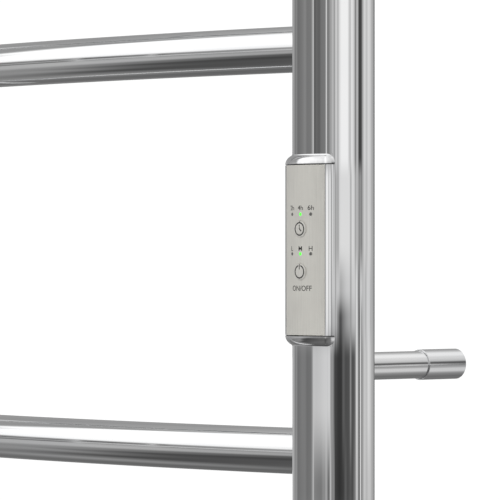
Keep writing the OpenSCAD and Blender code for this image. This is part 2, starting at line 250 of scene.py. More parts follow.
def layers(outlines, heights):
    """Outlines of equal length, one above the other."""
    rows = [np.column_stack([o, np.full(len(o), z)]) for o, z in zip(outlines, heights)]
    return np.stack(rows)


# ---------------------------------------------------------------- materials

class Term:
    """A value on its way through a node tree. Sums, differences, products and quotients add Math nodes."""

    def __init__(self, tree, socket):
        self.tree = tree
        self.socket = socket

    def math(self, operation, *terms):
        node = self.tree.nodes.new("ShaderNodeMath")
        node.operation = operation
        for socket, term in zip(node.inputs, terms):
            if isinstance(term, Term):
                self.tree.links.new(term.socket, socket)
            else:
                socket.default_value = term
        return Term(self.tree, node.outputs[0])

    def __add__(self, other):
        return self.math("ADD", self, other)

    def __sub__(self, other):
        return self.math("SUBTRACT", self, other)

    def __mul__(self, other):
        return self.math("MULTIPLY", self, other)

    def __truediv__(self, other):
        return self.math("DIVIDE", self, other)

    __radd__ = __add__
    __rmul__ = __mul__

    def between(self, low, high, start=0.0, end=1.0):
        """Rises smoothly from start to end while this value goes from low to high."""
        node = self.tree.nodes.new("ShaderNodeMapRange")
        node.interpolation_type = "SMOOTHSTEP"
        self.tree.links.new(self.socket, node.inputs["Value"])
        for name, value in zip(("From Min", "From Max", "To Min", "To Max"), (low, high, start, end)):
            node.inputs[name].default_value = value
        return Term(self.tree, node.outputs[0])


class Finish:
    """One material, or the world: adds nodes to its tree and feeds its shader."""

    def __init__(self, tree):
        self.tree = tree
        tree.nodes.clear()

    def node(self, kind, settings=None, values=None, out=0):
        """Adds a node, sets its settings, then the values or links of its sockets; gives one output."""
        node = self.tree.nodes.new("ShaderNode" + kind)
        for name, value in (settings or {}).items():
            if name == "stops":
                self.fill_ramp(node.color_ramp, value)
            else:
                setattr(node, name, value)
        for name, value in (values or {}).items():
            if isinstance(value, Term):
                self.tree.links.new(value.socket, node.inputs[name])
            else:
                node.inputs[name].default_value = value
        return Term(self.tree, node.outputs[out]) if len(node.outputs) else None

    @staticmethod
    def fill_ramp(ramp, stops):
        """Sets a colour ramp's stops: (position, colour) pairs."""
        while len(ramp.elements) < len(stops):
            ramp.elements.new(0.5)
        for element, (place, colour) in zip(ramp.elements, stops):
            element.position = place
        for element, (place, colour) in zip(ramp.elements, stops):
            element.color = (*colour, 1) if len(colour) == 3 else colour

    def place(self, scale=(1, 1, 1)):
        """Object coordinates in metres, stretched by scale."""
        coordinates = self.node("TexCoord", out="Object")
        return self.node("Mapping", values={"Vector": coordinates, "Scale": scale})

    def noise(self, vector, scale, detail=2.0, roughness=0.5):
        values = {"Vector": vector, "Scale": scale, "Detail": detail, "Roughness": roughness}
        return self.node("TexNoise", values=values)

    def blend(self, factor, first, second):
        """Goes from the first colour to the second as factor goes from 0 to 1."""
        values = {0: factor, 6: first, 7: second}
        return self.node("Mix", {"data_type": "RGBA"}, values, out=2)

    def bump(self, height, distance, strength=1.0):
        values = {"Height": height, "Distance": distance, "Strength": strength}
        return self.node("Bump", values=values)


def material(name, build, **constants):
    """A material whose shader takes its constants here and what varies from build(finish)."""
    made = bpy.data.materials.new(name)
    made.use_nodes = True
    finish = Finish(made.node_tree)
    varying = build(finish)
    shader = finish.node("BsdfPrincipled", values={**constants, **varying})
    finish.node("OutputMaterial", values={"Surface": shader})
    return made


def colour(red, green, blue):
    """A display colour from 0 to 255 a channel, as the shader wants it."""
    parts = np.array([red, green, blue]) / 255
    linear = np.where(parts <= 0.04045, parts / 12.92, ((parts + 0.055) / 1.055) ** 2.4)
    return (*[float(v) for v in linear], 1.0)


def polished(name, along, roughness=0.004, waves=0.000003, gloss=0.008):
    """Mirror-polished stainless steel with hair-fine buffing lines that run along one axis."""
    stretch = [900, 900, 900]
    stretch["xyz".index(along)] = 14

    def build(f):
        lines = f.noise(f.place(stretch), 1, 3, 0.6)
        bloom = f.noise(f.place(), 9, 2)
        stretch[:] = [30, 30, 30]
        stretch["xyz".index(along)] = 3
        tint = f.blend(bloom.between(0.35, 0.7), (0.885, 0.89, 0.90, 1), (0.925, 0.925, 0.925, 1))
        wave = f.noise(f.place(stretch), 1, 1)
        return {
            "Base Color": tint,
            "Roughness": roughness + gloss * (lines.between(0.45, 0.8) + bloom.between(0.5, 0.75)),
            "Normal": f.bump(wave + 0.01 * lines, waves),
        }

    return material(name, build, Metallic=1.0)


def shadow_gapped(name):
    """Polished steel with painted shade: the base colour goes nearly black inside the narrow gap between an
    end cap and the face.

    The gap is told by height: how far a point lies above or below the control's straight part.
    """

    def build(f):
        parts = f.node("SeparateXYZ", values={0: f.node("TexCoord", out="Object")}, out=2)
        middle = parts - CONTROL_Z * MM
        beyond = middle.math("ABSOLUTE", middle) - CONTROL_HALF_H * MM
        cloud = f.noise(f.place((400, 400, 60)), 1, 3)
        tint = f.blend(cloud.between(0.3, 0.7), (0.84, 0.84, 0.85, 1), (0.93, 0.93, 0.93, 1))
        # Painted shade: gap marks the seam between end cap and face, where the base colour is made nearly
        # black.
        gap = beyond.between(0.9 * SEAM * MM, 1.15 * SEAM * MM)
        return {
            # painted shade: the nearly black base colour in the seam stands in for the shade that falls
            # there
            "Base Color": f.blend(gap, (0.03, 0.03, 0.03, 1), tint),
            "Roughness": 0.015 + 0.02 * cloud,
            "Normal": f.bump(cloud, 0.000004),
        }

    return material(name, build, Metallic=1.0)


def turned(name, shade, roughness):
    """Machined metal: fine rings of tool marks and small differences in gloss."""

    def build(f):
        marks = f.noise(f.place((300, 2500, 300)), 1, 2)
        spots = f.noise(f.place(), 500, 3)
        dark = tuple(0.72 * v for v in shade[:3]) + (1,)
        return {
            "Base Color": f.blend(spots.between(0.4, 0.75), shade, dark),
            "Roughness": roughness + 0.12 * marks,
            "Normal": f.bump(marks, 0.00003),
        }

    return material(name, build, Metallic=1.0)


def satin(name, shade):
    """Satin metal lacquer: fine upright brushing under a soft clear coat, with a faint drift of tone."""

    def build(f):
        brushing = f.noise(f.place((2600, 2600, 40)), 1, 4, 0.65)
        drift = f.noise(f.place(), 60, 2)
        light = tuple(min(1, 1.05 * v) for v in shade[:3]) + (1,)
        dark = tuple(0.93 * v for v in shade[:3]) + (1,)
        return {
            "Base Color": f.blend((0.7 * brushing + 0.3 * drift).between(0.3, 0.7), dark, light),
            "Roughness": 0.36 + 0.14 * brushing,
            "Normal": f.bump(brushing, 0.000012),
        }

    return material(name, build, Metallic=0.35)


def moulded(name, shade, roughness, grain=900, depth=0.00003):
    """Moulded plastic, rubber or ceramic: a fine grain in height, gloss and tone."""

    def build(f):
        pores = f.noise(f.place(), grain, 3, 0.6)
        cloud = f.noise(f.place(), grain / 12, 2)
        pale = tuple(min(1, 1.25 * v + 0.004) for v in shade[:3]) + (1,)
        return {
            "Base Color": f.blend(cloud.between(0.35, 0.7), shade, pale),
            "Roughness": roughness + 0.18 * pores.between(0.3, 0.7) - 0.09,
            "Normal": f.bump(pores, depth),
        }

    return material(name, build)


def circuit(name):
    """Green solder mask with the faint raised tracks beneath it."""

    def build(f):
        tracks = f.node("TexBrick", values={"Vector": f.place(), "Scale": 140.0}, out="Fac")
        cloud = f.noise(f.place(), 400, 2)
        return {
            "Base Color": f.blend(0.6 * tracks + 0.3 * cloud, colour(12, 84, 44), colour(30, 120, 66)),
            "Roughness": 0.28 + 0.2 * cloud,
            "Normal": f.bump(tracks, 0.00002),
        }

    return material(name, build)


def lens_glass(name, shade, glow):
    """A tinted diffusing lens, brighter towards its middle when it is lit."""

    def build(f):
        cloud = f.noise(f.place(), 1500, 2)
        varying = {
            "Base Color": f.blend(cloud, shade, tuple(0.8 * v for v in shade[:3]) + (1,)),
            "Roughness": 0.2 + 0.15 * cloud,
        }
        if glow:
            varying["Emission Color"] = f.blend(cloud, shade, colour(120, 255, 96))
        return varying

    constants = {"Emission Strength": glow} if glow else {}
    return material(name, build, **constants)


def sheathed(name, shade, roughness):
    """Cable jacket: long soft ripples and a dusting of tone."""

    def build(f):
        ripple = f.noise(f.place((120, 120, 30)), 1, 2)
        dust = f.noise(f.place(), 700, 3)
        pale = tuple(min(1, 1.2 * v + 0.02) for v in shade[:3]) + (1,)
        return {
            "Base Color": f.blend(dust.between(0.4, 0.8), shade, pale),
            "Roughness": roughness + 0.15 * dust,
            "Normal": f.bump(ripple, 0.0002),
        }

    return material(name, build)


upright_steel = polished("polished_steel_upright", "z")
rail_steel = polished("polished_steel_rail", "x", 0.05, 0.00003, 0.02)
bracket_steel = polished("polished_steel_bracket", "y", 0.05, 0.00001, 0.02)
control_steel = polished("polished_steel_control", "z", 0.015, 0.000005)
cap_steel = shadow_gapped("polished_steel_end_cap")
face_satin = satin("satin_face", colour(222, 220, 213))
button_satin = satin("satin_button", colour(222, 220, 214))
ink = moulded("legend_ink", colour(18, 18, 18), 0.5, 1500, 0.000005)
lit_glass = lens_glass("lit_lens", colour(70, 255, 52), 1.0)
dark_glass = lens_glass("dark_lens", colour(104, 104, 101), 0)
rubber = moulded("seal_rubber", colour(30, 30, 31), 0.75)
nylon = moulded("gland_nylon", colour(34, 34, 36), 0.42)

CARRIED = {
    "turned_steel": turned("turned_steel", (0.62, 0.62, 0.63, 1), 0.3),
    "dark_screw": turned("dark_screw", (0.05, 0.05, 0.055, 1), 0.38),
    "seal_rubber": rubber,
    "green_board": circuit("green_board"),
    "black_parts": moulded("black_parts", colour(32, 32, 34), 0.4),
    "red_wire": sheathed("red_wire", colour(186, 32, 26), 0.4),
    "heater_jacket": sheathed("heater_jacket", colour(196, 92, 60), 0.5),
    "ceramic": moulded("ceramic", colour(232, 226, 208), 0.5, 600),
    "gland_nylon": nylon,
    "brass": turned("brass", (0.76, 0.58, 0.25, 1), 0.32),
}


# ---------------------------------------------------------------- posts and their caps

def make_post(side):
    """A crowned tube: the outline carried up the outside, over a rounded lip and down the inside."""
    lip = 0.25
    turn = np.linspace(0, math.pi / 2, 5)
    insets = np.concatenate([lip * (1 - np.sin(turn)), [0]])
    low = np.concatenate([-TUBE_END + lip * (1 - np.cos(turn)), [-TUBE_END + 2 * lip]])
    insets = np.concatenate([insets, insets[::-1], [POST_WALL, POST_WALL]])
    heights = np.concatenate([low, -low[::-1], [TUBE_END, -TUBE_END]])
    rows = layers([post_outline(i) + [side * POST_X, POST_Y] for i in insets], heights)
    name = "right_post" if side > 0 else "left_post"
    return Surface().grid(rows, True, True).piece(name, "rack", [name], "polished_steel", upright_steel)


def make_post_cap(side, level):
    """An end plate: straight wall, quarter-round edge of edge_r, then a flat top shrinking to a point."""
    edge_r = 0.9
    seam = 0.12
    bottom = TUBE_END
    roll = np.linspace(0, math.pi / 2, 8)
    insets = np.concatenate([[seam], [0], edge_r * (1 - np.cos(roll))])
    heights = np.concatenate([[bottom], [bottom + seam], POST_END - edge_r + edge_r * np.sin(roll)])
    outlines = [post_outline(i) for i in insets]
    outlines += [outlines[-1] * s for s in (0.7, 0.35, 0)]
    heights = np.concatenate([heights, [POST_END] * 3])
    outlines = [outlines[0] * 0] + outlines
    heights = np.concatenate([[bottom], heights])
    rows = layers([o + [side * POST_X, POST_Y] for o in outlines], level * heights)
    name = ("right" if side > 0 else "left") + ("_top_cap" if level > 0 else "_bottom_cap")
    return Surface().grid(rows, False, True).piece(name, "rack", [name], "polished_steel", upright_steel)


# ---------------------------------------------------------------- rails

def weld_section(radius, size, sunk=0.35, steps=6):
    """A closed (reach from the axis, height above the face) section of a concave weld fillet."""
    turn = np.linspace(0, math.pi / 2, steps + 1)
    hollow = np.stack([radius + size - size * np.sin(turn), size - size * np.cos(turn)], -1)
    return np.concatenate([hollow, [[radius - sunk, size], [radius - sunk, -sunk], [radius + size, -sunk]]])


def make_rail(name):
    """A bowed tube between the posts, and the weld fillet round each end.

    The tube's section is a circle carried along an arc of radius BOW_R; its outer skin and its bore are
    one closed grid. A fillet is a section turned round the rail's end, lying on the post's crowned side
    and widened by the rail's tilt there.
    """
    low, high = node_box(name)
    z = (low[2] + high[2]) / 2
    reach = math.asin((RAIL_HALF + POST_WALL - 0.1) / BOW_R)
    along = np.linspace(-reach, reach, 121)
    sweep = np.concatenate([along, along[::-1]])
    tube_r = np.repeat([RAIL_R, RAIL_R - RAIL_WALL], len(along))
    turn = circle(80)
    spread = BOW_R + tube_r[:, None] * np.cos(turn)
    tube = np.stack([
        spread * np.sin(sweep)[:, None],
        BOW_Y - spread * np.cos(sweep)[:, None],
        z + tube_r[:, None] * np.sin(turn),
    ], -1)
    shape = Surface().grid(tube, True, True)
    section = weld_section(RAIL_R, WELD)
    for side in (-1, 1):
        offset = section[:, :1] * np.cos(turn) / math.cos(BOW_TILT)
        height = section[:, 1:] - crown_at(offset)
        fillet = np.stack([
            side * (RAIL_HALF - height),
            POST_Y + offset - section[:, 1:] * math.tan(BOW_TILT),
            z + section[:, :1] * np.sin(turn),
        ], -1)
        shape.grid(fillet, True, True)
    return shape.piece(name, "rack", [name], "polished_steel", rail_steel)


# ---------------------------------------------------------------- wall brackets

def make_bracket(corner):
    """The stub, a tube turned round the bracket's axis with its weld fillet, and the sliding collar."""
    low, high = node_box(corner + "_stub")
    centre = np.array([(low[0] + high[0]) / 2, 0, (low[2] + high[2]) / 2])
    back = POST_Y + POST_D / 2
    stub = rounded([
        [STUB_R, back - STUB_SUNK], [STUB_R, STUB_TIP],
        [STUB_R - STUB_WALL, STUB_TIP], [STUB_R - STUB_WALL, back - STUB_SUNK],
    ], 0.25)
    turn = circle(96)
    section = weld_section(STUB_R, WELD)
    reach = section[:, :1] * np.cos(turn)
    fillet = np.stack([
        centre[0] + reach,
        back + section[:, 1:] - crown_at(reach),
        centre[2] + section[:, :1] * np.sin(turn),
    ], -1)
    shape = Surface().grid(lathe(stub, centre, "y"), True, True).grid(fillet, True, True)
    shape.piece(corner + "_stub", "rack", [corner + "_stub"], "polished_steel", bracket_steel)
    collar = rounded([
        [COLLAR_R, -COLLAR_LEN], [COLLAR_R, 0],
        [COLLAR_R - COLLAR_WALL, 0], [COLLAR_R - COLLAR_WALL, -COLLAR_LEN],
    ], 0.3)
    name = corner + "_collar"
    Surface().grid(lathe(collar, centre, "y", 128), True, True).piece(
        name, name, [name], "polished_steel", bracket_steel
    )


# ---------------------------------------------------------------- the control

AXIS = np.array([POST_X, POST_Y, CONTROL_Z])
FACE_CENTRE = np.array([0, FACE_Y + FACE_R])


def face_depth(x, radius=FACE_R):
    """Y of the curved face at x from the post's axis: a circle of the face's radius."""
    return FACE_CENTRE[1] - np.sqrt(radius**2 - np.asarray(x) ** 2)


def bezel_outline(inset=0.0, corner=BEZEL_R, steps=24):
    """Right half of the control's outline, shrunk by inset: half face, rounded bezel, straight side.

    The face is an arc of FACE_R less inset. The bezel is a quarter circle that starts straight forward
    at the face's edge and ends on the side, which stands inset in from the housing's own side.
    """
    side = CONTROL_HALF_W - inset
    centre_x = side - corner
    radius = FACE_R - inset
    half_angle = math.asin(centre_x / radius)
    face = arc(FACE_CENTRE, radius, -math.pi / 2, -math.pi / 2 + half_angle, 20)
    centre = [centre_x, min(face[-1][1] + corner, LEG_Y - 0.05)]
    bezel = arc(centre, corner, -math.pi / 2, 0, steps)
    leg = np.linspace([side, centre[1]], [side, LEG_Y], 4)[1:]
    return np.concatenate([face, bezel, leg])


def post_front(gap, count):
    """The crowned front of the post, gap away from it, from its middle round to where the legs end."""
    outline = post_outline(-gap)
    half = outline[:len(outline) // 4]
    half = half[half[:, 1] < LEG_Y]
    length = np.concatenate([[0], np.cumsum(np.linalg.norm(np.diff(half, axis=0), axis=1))])
    even = np.linspace(0, length[-1], count)
    return np.stack([np.interp(even, length, half[:, 0]), np.interp(even, length, half[:, 1])], -1)


def both_sides(right):
    """A right half from the middle outwards, with its mirror image before it, as one open line."""
    return np.concatenate([(right * [-1, 1])[:0:-1], right])


def make_housing():
    """The chrome channel: bezels outside, a ledge and a pocket for the face, the post's crown behind."""
    ledge_x = FACE_HALF_W - LEDGE
    bottom = FACE_R - FACE_T
    ledge = np.linspace(ledge_x, FACE_HALF_W, 6)
    pocket = np.array([[0, WEB_Y], [ledge_x, WEB_Y]])
    rest = np.stack([ledge, face_depth(ledge, bottom)], -1)
    outline = bezel_outline()
    bezel = outline[21:]
    back = post_front(SEAL_T, 40)[::-1]
    edge = np.array([[FACE_HALF_W, face_depth(FACE_HALF_W)]])
    half = np.concatenate([pocket, rest, edge, bezel, back])
    loop = np.concatenate([half, (half * [-1, 1])[::-1][1:-1]])
    loop = loop + AXIS[:2]
    heights = CONTROL_Z + np.array([-CONTROL_HALF_H, CONTROL_HALF_H])
    rows = layers([loop, loop], heights)
    shape = Surface().grid(rows, False, True).cap(rows[0]).cap(rows[1])
    return shape.piece("control_housing", "rack", ["control_housing"], "polished_steel", control_steel)


def make_end_cap(name, level):
    """A rounded chrome end: the control's outline drawn in along a quarter circle as it rises.

    Row after row the outline shrinks by END_CAP_H times 1 less the cosine, and climbs by END_CAP_H times
    the sine. The back follows the post's crown, so the last row lies on it and closes the flat top.
    """
    roll = np.linspace(0, math.pi / 2, 22)
    insets = END_CAP_H * (1 - np.cos(roll)) * 0.93
    heights = END_CAP_H * np.sin(roll)
    outlines = []
    for inset in insets:
        corner = BEZEL_R - 0.25 * inset
        outlines.append(both_sides(bezel_outline(inset, corner)))
    count = len(outlines[0])
    back = both_sides(post_front(SEAL_T, (count + 1) // 2))
    groove = both_sides(bezel_outline(SEAM, BEZEL_R - 0.5 * SEAM))
    outlines = [back, groove, groove, *outlines, back]
    heights = np.concatenate([[0], [0], [SEAM], [1.2 * SEAM], heights[1:], [END_CAP_H]])
    rows = layers([o + AXIS[:2] for o in outlines], CONTROL_Z + level * (CONTROL_HALF_H + heights))
    shape = Surface().grid(rows, True, False).cap(rows[:, 0]).cap(rows[:, -1])
    return shape.piece(name, "rack", [name], "polished_steel", cap_steel, 40)


# Grid lines closer together than this count as one.
SAME = 0.001


def perforated(x_lines, z_lines, holes, surface, thickness):
    """A curved sheet with round holes, front and back, as one closed surface.

    The sheet is a grid on its x and z lines. Round each hole a cell of the grid is left out and filled
    by rings that blend from the cell's edge to the circle: centre + (1 - s) * circle + s * edge. Every
    hole and the outer edge get a wall down to the back. surface(x, z, depth) bends it into place.
    """
    shape = Surface()
    columns, rows = len(x_lines), len(z_lines)
    x, z = np.meshgrid(x_lines, z_lines)
    quads = grid_faces(rows, columns)
    middle_x = x.ravel()[quads].mean(1)
    middle_z = z.ravel()[quads].mean(1)
    keep = np.ones(len(quads), bool)
    for cx, cz, _, half in holes:
        keep &= (abs(middle_x - cx) > half) | (abs(middle_z - cz) > half)
    depths = np.array([0, 0.12, thickness])

    def loop(line_x, line_z):
        """Walls down a closed line, in two steps of depth."""
        wall = [surface(line_x, line_z, d) for d in depths[1:]]
        return np.stack([surface(line_x, line_z, 0), *wall])

    for depth in (0, thickness):
        shape.add(surface(x, z, depth), quads[keep])
    for cx, cz, radius, half in holes:
        inside_x = x_lines[abs(x_lines - cx) <= half + SAME]
        inside_z = z_lines[abs(z_lines - cz) <= half + SAME]
        edge_x = np.concatenate([
            inside_x[:-1], np.full(len(inside_z) - 1, inside_x[-1]),
            inside_x[:0:-1], np.full(len(inside_z) - 1, inside_x[0]),
        ])
        edge_z = np.concatenate([
            np.full(len(inside_x) - 1, inside_z[0]), inside_z[:-1],
            np.full(len(inside_x) - 1, inside_z[-1]), inside_z[:0:-1],
        ])
        angle = np.arctan2(edge_z - cz, edge_x - cx)
        s = np.linspace(0, 1, 5)[:, None]
        ring_x = cx + (1 - s) * radius * np.cos(angle) + s * (edge_x - cx)
        ring_z = cz + (1 - s) * radius * np.sin(angle) + s * (edge_z - cz)
        for depth in (0, thickness):
            shape.grid(surface(ring_x, ring_z, depth), False, True)
        shape.grid(loop(ring_x[0], ring_z[0]), False, True)
    border_x = np.concatenate([x_lines[:-1], np.full(rows - 1, x_lines[-1]),
                               x_lines[:0:-1], np.full(rows - 1, x_lines[0])])
    border_z = np.concatenate([np.full(columns - 1, z_lines[0]), z_lines[:-1],
                               np.full(columns - 1, z_lines[-1]), z_lines[:0:-1]])
    return shape.grid(loop(border_x, border_z), False, True)


def on_face(x, z, depth=0.0):
    """Bends flat x and z onto the face: depth goes straight in along the face's own radius."""
    angle = np.arcsin(np.asarray(x) / FACE_R)
    radius = FACE_R - depth
    spots = [POST_X + radius * np.sin(angle), POST_Y + FACE_CENTRE[1] - radius * np.cos(angle)]
    return np.stack([spots[0], spots[1] + 0 * z, np.broadcast_to(z, spots[0].shape)], -1)


def make_face():
    """The satin panel with a hole for each button and lens."""
    edge_gap = 0.1
    hole_r = BUTTON_R + BUTTON_GAP
    button_cell = 6.8
    lens_cell = 1.7
    marks = [0, lens_cell, button_cell, LENS_PITCH + lens_cell, FACE_HALF_W - edge_gap]
    half_x = np.concatenate([np.linspace(a, b, 5)[:-1] for a, b in zip(marks, marks[1:])] + [[marks[-1]]])
    x_lines = np.concatenate([-half_x[:0:-1], half_x])
    holes = [(0, z, hole_r, button_cell) for z in BUTTON_Z.values()]
    holes += [(i * LENS_PITCH, z, LENS_R + 0.06, lens_cell) for z in LENS_Z for i in (-1, 0, 1)]
    top = CONTROL_Z + CONTROL_HALF_H - edge_gap
    breaks = {2 * CONTROL_Z - top, top}
    for _, cz, _, half in holes:
        breaks |= {round(cz - half, 4), round(cz, 4), round(cz + half, 4)}
    breaks = sorted(breaks)
    z_parts = [np.linspace(a, b, max(4, int((b - a) / 2)) + 1)[:-1] for a, b in zip(breaks, breaks[1:])]
    z_lines = np.concatenate(z_parts + [[breaks[-1]]])
    shape = perforated(x_lines, z_lines, holes, on_face, FACE_T)
    return shape.piece("face_panel", "rack", ["face_panel"], "satin_face", face_satin)


def button_dome(reach):
    """How far the button's front has fallen back at this distance from its middle: a shallow sphere."""
    return BUTTON_DOME_R - np.sqrt(BUTTON_DOME_R**2 - np.asarray(reach) ** 2)


def make_button(name):
    """A shallow dome with a rolled edge, a straight shank and the flange that keeps it in its hole."""
    low, high = node_box(name)
    front = low[1]
    flange_r = (high[0] - low[0]) / 2
    flange_y = high[1]
    edge_r = 0.55
    roll = np.linspace(math.pi / 2, 0, 8)
    reach = np.linspace(0, BUTTON_R - edge_r, 12)
    rim_y = front + button_dome(BUTTON_R - edge_r) + edge_r
    profile = np.concatenate([
        np.stack([reach, front + button_dome(reach)], -1),
        np.stack([BUTTON_R - edge_r + edge_r * np.cos(roll), rim_y - edge_r * np.sin(roll)], -1)[1:],
        [[BUTTON_R, flange_y - 0.7], [flange_r, flange_y - 0.7], [flange_r, flange_y], [0, flange_y]],
    ])
    centre = [POST_X, 0, BUTTON_Z[name]]
    shape = Surface().grid(lathe(profile, centre, "y", 96), False, True)
    return shape.piece(name, name, [name], "satin_button", button_satin)


def stroke(points, width, closed=False):
    """A flat line of this width along x and z points: left edge, right edge, and square ends.

    Each point moves half the width along the normal of the line's own direction there.
    """
    points = np.asarray(points, float)
    if closed:
        direction = np.roll(points, -1, 0) - np.roll(points, 1, 0)
    else:
        direction = np.gradient(points, axis=0)
    direction /= np.linalg.norm(direction, axis=1)[:, None]
    normal = np.stack([-direction[:, 1], direction[:, 0]], -1)
    return np.stack([points - normal * width / 2, points + normal * width / 2], 1)


def printed(shape, line, height, closed=False, thickness=0.05):
    """Adds a printed line: the flat stroke at the height of the surface under it, and just above."""
    x, z = line[..., 0], line[..., 1]
    front = height(x, z) - thickness
    behind = height(x, z) + thickness
    top = np.stack([POST_X + x, front, z], -1)
    under = np.stack([POST_X + x, behind, z], -1)
    section = np.stack([top[:, 0], top[:, 1], under[:, 1], under[:, 0]], 1)
    shape.grid(section, closed, True)
    if not closed:
        shape.cap(section[0]).cap(section[-1])
    return shape


def make_symbol(name, button, lines, gap=0.0):
    """A ring with an optional gap at its top, and straight strokes, printed on a button's dome."""
    z0 = BUTTON_Z[button]
    front = node_box(button)[0][1]

    def height(x, z):
        return front + button_dome(np.hypot(x, z - z0))

    ring_r = 3.95
    width = 0.78
    shape = Surface()
    if gap:
        turn = np.linspace(math.pi / 2 + gap, math.pi * 5 / 2 - gap, 72)
    else:
        turn = circle(80)
    ring = np.stack([ring_r * np.cos(turn), z0 + ring_r * np.sin(turn)], -1)
    printed(shape, stroke(ring, width, not gap), height, not gap)
    for (x0, y0), (x1, y1), line_width in lines:
        path = np.linspace([x0, z0 + y0], [x1, z0 + y1], 6)
        printed(shape, stroke(path, line_width), height)
    return shape.piece(name, button, [], "black_parts", ink)


def make_lettering(name, words, x, z, width, height):
    """Letters of the built-in typeface, thin, scaled to width by height and laid on the curved face."""
    font = bpy.data.curves.new(name, "FONT")
    font.body = words
    font.size = 1
    font.extrude = 0.03
    font.offset = 0.002
    font.resolution_u = 4
    holder = bpy.data.objects.new(name + "_text", font)
    bpy.context.scene.collection.objects.link(holder)
    depsgraph = bpy.context.evaluated_depsgraph_get()
    mesh = bpy.data.meshes.new_from_object(holder.evaluated_get(depsgraph))
    bpy.data.objects.remove(holder)
    flat = np.zeros(len(mesh.vertices) * 3)
    mesh.vertices.foreach_get("co", flat)
    flat = flat.reshape(-1, 3)
    low, high = flat.min(0), flat.max(0)
    share = (flat - (low + high) / 2) / (high - low)
    across = x + share[:, 0] * width
    spots = on_face(across, CONTROL_Z + z + share[:, 1] * height, -0.08 * share[:, 2])
    faces = [list(p.vertices) for p in mesh.polygons]
    bpy.data.meshes.remove(mesh)
    shape = Surface()
    shape.points.append(spots)
    shape.faces = faces
    return shape.piece(name, "rack", [], "black_parts", ink)


def make_lenses(name, spots, glass):
    """Small domes that stand just proud of the face: a sphere's cap on a straight barrel."""
    dome = 0.28
    sphere_r = (LENS_R**2 + dome**2) / (2 * dome)
    reach = np.linspace(0, LENS_R, 9)
    cap = sphere_r - np.sqrt(sphere_r**2 - reach**2)
    shape = Surface()
    for x, z in spots:
        front = POST_Y + face_depth(x) - 0.1
        profile = np.concatenate([np.stack([reach, front + cap], -1), [[LENS_R, front + 3], [0, front + 3]]])
        shape.grid(lathe(profile, [POST_X + x, 0, z], "y", 40), False, True)
    return shape.piece(name, "rack", [name], name.replace("lenses", "lens"), glass)


# ---------------------------------------------------------------- cable gland

def make_gland():
    """A hexagon flange with bevelled corners, and a domed nut with fluted sides, round one bore.

    The flange's reach at an angle is half its width over the cosine of the angle from the nearest flat,
    cut by a cone at its rim. The nut's reach is a dome's with shallow flutes cut by a cosine.
    """
    low, high = node_box("cable_gland")
    flat_r = 8.5
    corner_r = flat_r / math.cos(math.pi / 6)
    bore_r = 3.6
    neck_r = 5.9
    turn = circle(144)
    hexagon = flat_r / np.cos((turn + math.pi / 6) % (math.pi / 3) - math.pi / 6)
    flute = 1 - 0.035 * (0.5 + 0.5 * np.cos(18 * turn)) ** 2
    top = -POST_END
    flange_t = 5
    bottom = low[2]
    nut_top = top - flange_t
    rows = [(0, bore_r, bottom), (1, 5.0, bottom), (2, 5.6, bottom + 0.3), (2, 6.6, bottom + 2.2)]
    rows += [(2, 7.3, bottom + 5), (2, 7.35, nut_top - 0.4), (1, 6.8, nut_top), (3, 8.1, nut_top)]
    rows += [(3, corner_r, nut_top + 0.9), (3, corner_r, top - 0.6), (3, 8.6, top), (1, neck_r, top)]
    rows += [(1, neck_r, high[2]), (0, bore_r, high[2])]
    reach = []
    for kind, radius, z in rows:
        if kind == 2:
            reach.append(radius * flute)
        elif kind == 3:
            reach.append(np.minimum(hexagon, radius))
        else:
            reach.append(np.full(len(turn), radius))
    reach = np.array(reach)
    heights = np.array([z for kind, radius, z in rows])[:, None]
    points = np.stack([
        POST_X + reach * np.cos(turn), POST_Y + reach * np.sin(turn), heights + 0 * reach
    ], -1)
    shape = Surface().grid(points, True, True)
    return shape.piece("cable_gland", "rack", ["cable_gland"], "gland_nylon", nylon)


# ---------------------------------------------------------------- make everything

for side in (-1, 1):
    make_post(side)
    for level in (-1, 1):
        make_post_cap(side, level)
for name in RAILS:
    make_rail(name)
for corner in CORNERS:
    make_bracket(corner)

make_housing()
make_end_cap("upper_end_cap", 1)
make_end_cap("lower_end_cap", -1)
make_face()
make_button("timer_button")
make_button("power_button")
make_symbol("timer_symbol", "timer_button", [
    ((0, 2.8), (0, 0), 0.5), ((0, 0.2), (1.7, -1.4), 0.75), ((0, 4.3), (0, 5), 0.6),
])
make_symbol("power_symbol", "power_button", [((0, 4.9), (0, 1.5), 0.65)], gap=0.24)
for words, x, z, width in (("2h", -8.5, 26.9, 4.2), ("4h", 0, 26.9, 4.5), ("6h", 8.5, 26.9, 4.5)):
    make_lettering("legend_" + words, words, x, z, width, 3)
for words, x, z, width in (("L", -8.5, 1, 1.8), ("M", 0, 1, 3.1), ("H", 8.5, 1, 2.7)):
    make_lettering("legend_" + words, words, x, z, width, 3)
make_lettering("legend_on_off", "ON/OFF", 0.8, -24.3, 17, 3.4)
make_lenses("lit_lenses", [(0, z) for z in LENS_Z], lit_glass)
make_lenses("dark_lenses", [(i * LENS_PITCH, z) for z in LENS_Z for i in (-1, 1)], dark_glass)
make_gland()

for name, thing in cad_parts.items():
    if thing.hide_render:
        continue
    for place in thing.material_slots:
        known = [s for s in CARRIED if place.material and place.material.name.startswith(s)]
        if known:
            place.material = CARRIED[known[0]]


# ---------------------------------------------------------------- studio

def grey(level):
    """A display grey from 0 to 255 as light that polished steel gives back at that brightness."""
    return colour(level, level, level)[0] / 0.9


# A post's front mirrors the studio about FRONT and its side about SIDE, CROWN_SPAN degrees to each side
# of it. The stops of a face are (place across it from -1 to 1, grey), and those of a corner (azimuth,
# grey). From the top down: UPPER_BAND above the control, BEZEL_BAND, CLOUD_BAND and DUSK_BAND beside it,
# LOWER_BAND and LOWEST_BAND below it.
FRONT, SIDE = -135.6, 43.2
CROWN_SPAN = 9.64
NEARER = 0.045


